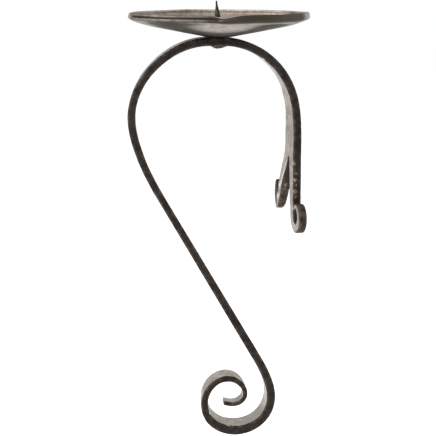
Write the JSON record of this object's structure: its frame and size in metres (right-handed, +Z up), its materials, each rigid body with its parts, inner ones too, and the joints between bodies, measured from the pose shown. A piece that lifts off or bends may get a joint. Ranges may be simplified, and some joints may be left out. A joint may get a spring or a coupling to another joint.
{
  "type": "forged pricket candle bracket",
  "caption": "Forged flat bar bent to an arch with a scrolled tail and a forked, eye-ended arm, carrying a round dished drip pan and a candle spike.",
  "frame": {"origin": "on the flat back of the arm, midway across the bar, just above the fork's slit", "axes": "+X points out of the arm's back into the post or board that carries the bracket, +Y runs along that board, +Z is up, so the arch and pan lie on the -X side"},
  "size_m": [0.134, 0.1313, 0.3245],
  "materials": {
    "bar": "dark forge scale, hammered, burnished on the faces and worn at the edges",
    "pan": "hammered bare steel with dark mottled scale",
    "spike": "black forge scale, rough",
    "washer": "dull dark steel"
  },
  "bodies": {
    "root": {"scroll_bar": "bar", "drip_pan": "pan", "pricket": "spike", "rivet_washer": "washer"}
  },
  "joints": []
}
